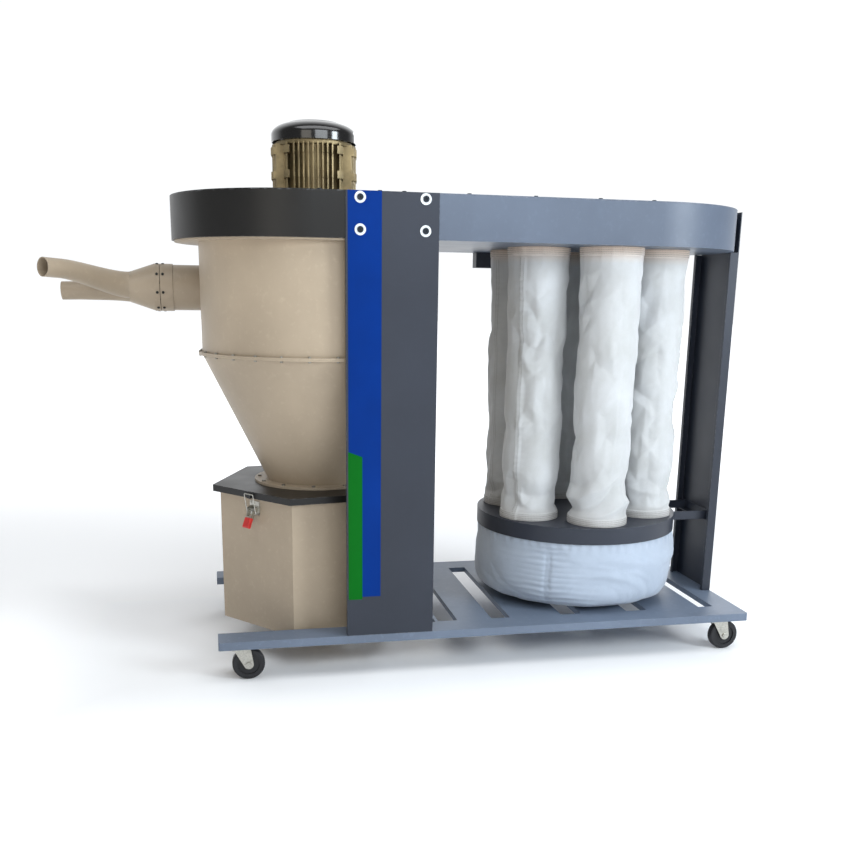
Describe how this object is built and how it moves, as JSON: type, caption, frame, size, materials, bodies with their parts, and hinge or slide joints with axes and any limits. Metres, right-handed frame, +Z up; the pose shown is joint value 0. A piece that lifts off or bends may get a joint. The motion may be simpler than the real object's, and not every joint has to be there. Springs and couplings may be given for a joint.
{
  "type": "dust collector",
  "caption": "Cyclone dust collector on a castered base, with a slide-out chip bin, a motor fan on top, filter bags and a lower dust bag.",
  "frame": {"origin": "on the floor, under the middle of the whole machine's box", "axes": "+X along the base towards the filter bags, +Y to the back, +Z up"},
  "size_m": [2.264, 0.812, 1.675],
  "materials": {
    "base_paint": "satin",
    "column_paint": "satin",
    "dark_paint": "satin",
    "plenum_paint": "satin",
    "cream_paint": "satin",
    "white_plastic": "satin",
    "zinc": "plated",
    "bright_steel": "ground",
    "blue_film": "gloss",
    "green_film": "gloss",
    "dust_cloth": "woven",
    "filter_cloth": "felted",
    "black_rubber": "matte",
    "wheel_rubber": "matte",
    "motor_aluminium": "cast",
    "black_gloss": "gloss",
    "black_plastic": "matte",
    "red_plastic": "gloss"
  },
  "bodies": {
    "frame": {"base_frame": "base_paint", "bin_rails": "base_paint", "front_column": "column_paint", "rear_column": "column_paint", "column_washers": "white_plastic", "housing_screws": "zinc", "stripe_blue": "blue_film", "stripe_green": "green_film", "fan_housing": "dark_paint", "fan_cover": "dark_paint", "fan_scroll": "column_paint", "filter_plenum": "plenum_paint", "plenum_cover": "plenum_paint", "end_panel": "column_paint", "ring_bracket": "column_paint", "bag_ring": "column_paint", "bag_snap_rings": "zinc", "filter_bag_1": "filter_cloth", "filter_bag_2": "filter_cloth", "filter_bag_3": "filter_cloth", "filter_bag_4": "filter_cloth", "filter_bag_5": "filter_cloth", "filter_bag_6": "filter_cloth", "lower_bag": "dust_cloth", "cyclone_barrel": "cream_paint", "cyclone_cone": "cream_paint", "vortex_tube": "cream_paint", "cyclone_fasteners": "zinc", "inlet_duct": "cream_paint", "y_branch": "cream_paint", "bin_lid": "dark_paint", "lid_gasket": "black_rubber", "plenum_bracket": "column_paint", "motor_flange": "motor_aluminium", "motor_body": "motor_aluminium", "motor_cowl": "black_gloss", "motor_bearings": "bright_steel", "terminal_box": "black_gloss", "caster_plates": "zinc"},
    "fan_rotor": {"motor_shaft": "bright_steel", "impeller": "column_paint", "cooling_fan": "black_plastic"},
    "bin": {"bin_body": "cream_paint", "latch_bases": "zinc"},
    "latch_lever_front": {"latch_lever_front": "zinc", "latch_grip_front": "red_plastic"},
    "latch_bail_front": {"latch_bail_front": "zinc"},
    "latch_lever_back": {"latch_lever_back": "zinc", "latch_grip_back": "red_plastic"},
    "latch_bail_back": {"latch_bail_back": "zinc"},
    "caster_front_left": {"caster_fork_front_left": "zinc"},
    "wheel_front_left": {"caster_wheel_front_left": "wheel_rubber"},
    "pedal_front_left": {"brake_pedal_front_left": "zinc"},
    "caster_back_left": {"caster_fork_back_left": "zinc"},
    "wheel_back_left": {"caster_wheel_back_left": "wheel_rubber"},
    "caster_front_right": {"caster_fork_front_right": "zinc"},
    "wheel_front_right": {"caster_wheel_front_right": "wheel_rubber"},
    "pedal_front_right": {"brake_pedal_front_right": "zinc"},
    "caster_back_right": {"caster_fork_back_right": "zinc"},
    "wheel_back_right": {"caster_wheel_back_right": "wheel_rubber"}
  },
  "joints": [
    {"name": "fan_spin", "type": "hinge", "parent": "frame", "child": "fan_rotor", "pos_m": [-0.275, 0, 1.5], "axis": [0, 0, 1], "continuous": true},
    {"name": "bin_slide", "type": "slide", "parent": "frame", "child": "bin", "axis": [-1, 0, 0], "range_m": [0, 0.6]},
    {"name": "latch_lever_front", "type": "hinge", "parent": "bin", "child": "latch_lever_front", "pos_m": [-0.50332, -0.19159, 0.5], "axis": [-0.6428, 0.766, 0], "range_deg": [0, 120]},
    {"name": "latch_bail_front", "type": "hinge", "parent": "latch_lever_front", "child": "latch_bail_front", "pos_m": [-0.50486, -0.19287, 0.485], "axis": [-0.6428, 0.766, 0], "range_deg": [-144, 0]},
    {"name": "latch_lever_back", "type": "hinge", "parent": "bin", "child": "latch_lever_back", "pos_m": [-0.55508, 0.10194, 0.5], "axis": [0.342, 0.9397, 0], "range_deg": [0, 120]},
    {"name": "latch_bail_back", "type": "hinge", "parent": "latch_lever_back", "child": "latch_bail_back", "pos_m": [-0.55696, 0.10262, 0.485], "axis": [0.342, 0.9397, 0], "range_deg": [-144, 0]},
    {"name": "swivel_front_left", "type": "hinge", "parent": "frame", "child": "caster_front_left", "pos_m": [-0.56, -0.356, 0.12], "axis": [0, 0, 1], "continuous": true},
    {"name": "roll_front_left", "type": "hinge", "parent": "caster_front_left", "child": "wheel_front_left", "pos_m": [-0.532, -0.356, 0.05], "axis": [0, 1, 0], "continuous": true},
    {"name": "brake_front_left", "type": "hinge", "parent": "caster_front_left", "child": "pedal_front_left", "pos_m": [-0.576, -0.356, 0.102], "axis": [0, -1, 0], "range_deg": [0, 15]},
    {"name": "swivel_back_left", "type": "hinge", "parent": "frame", "child": "caster_back_left", "pos_m": [-0.56, 0.356, 0.12], "axis": [0, 0, 1], "continuous": true},
    {"name": "roll_back_left", "type": "hinge", "parent": "caster_back_left", "child": "wheel_back_left", "pos_m": [-0.532, 0.356, 0.05], "axis": [0, 1, 0], "continuous": true},
    {"name": "swivel_front_right", "type": "hinge", "parent": "frame", "child": "caster_front_right", "pos_m": [1.04, -0.356, 0.12], "axis": [0, 0, 1], "continuous": true},
    {"name": "roll_front_right", "type": "hinge", "parent": "caster_front_right", "child": "wheel_front_right", "pos_m": [1.068, -0.356, 0.05], "axis": [0, 1, 0], "continuous": true},
    {"name": "brake_front_right", "type": "hinge", "parent": "caster_front_right", "child": "pedal_front_right", "pos_m": [1.024, -0.356, 0.102], "axis": [0, -1, 0], "range_deg": [0, 15]},
    {"name": "swivel_back_right", "type": "hinge", "parent": "frame", "child": "caster_back_right", "pos_m": [1.04, 0.356, 0.12], "axis": [0, 0, 1], "continuous": true},
    {"name": "roll_back_right", "type": "hinge", "parent": "caster_back_right", "child": "wheel_back_right", "pos_m": [1.068, 0.356, 0.05], "axis": [0, 1, 0], "continuous": true}
  ],
  "couplings": [
    {"joint": "latch_bail_front", "follows": "latch_lever_front", "ratio": -1.2},
    {"joint": "latch_bail_back", "follows": "latch_lever_back", "ratio": -1.2}
  ]
}
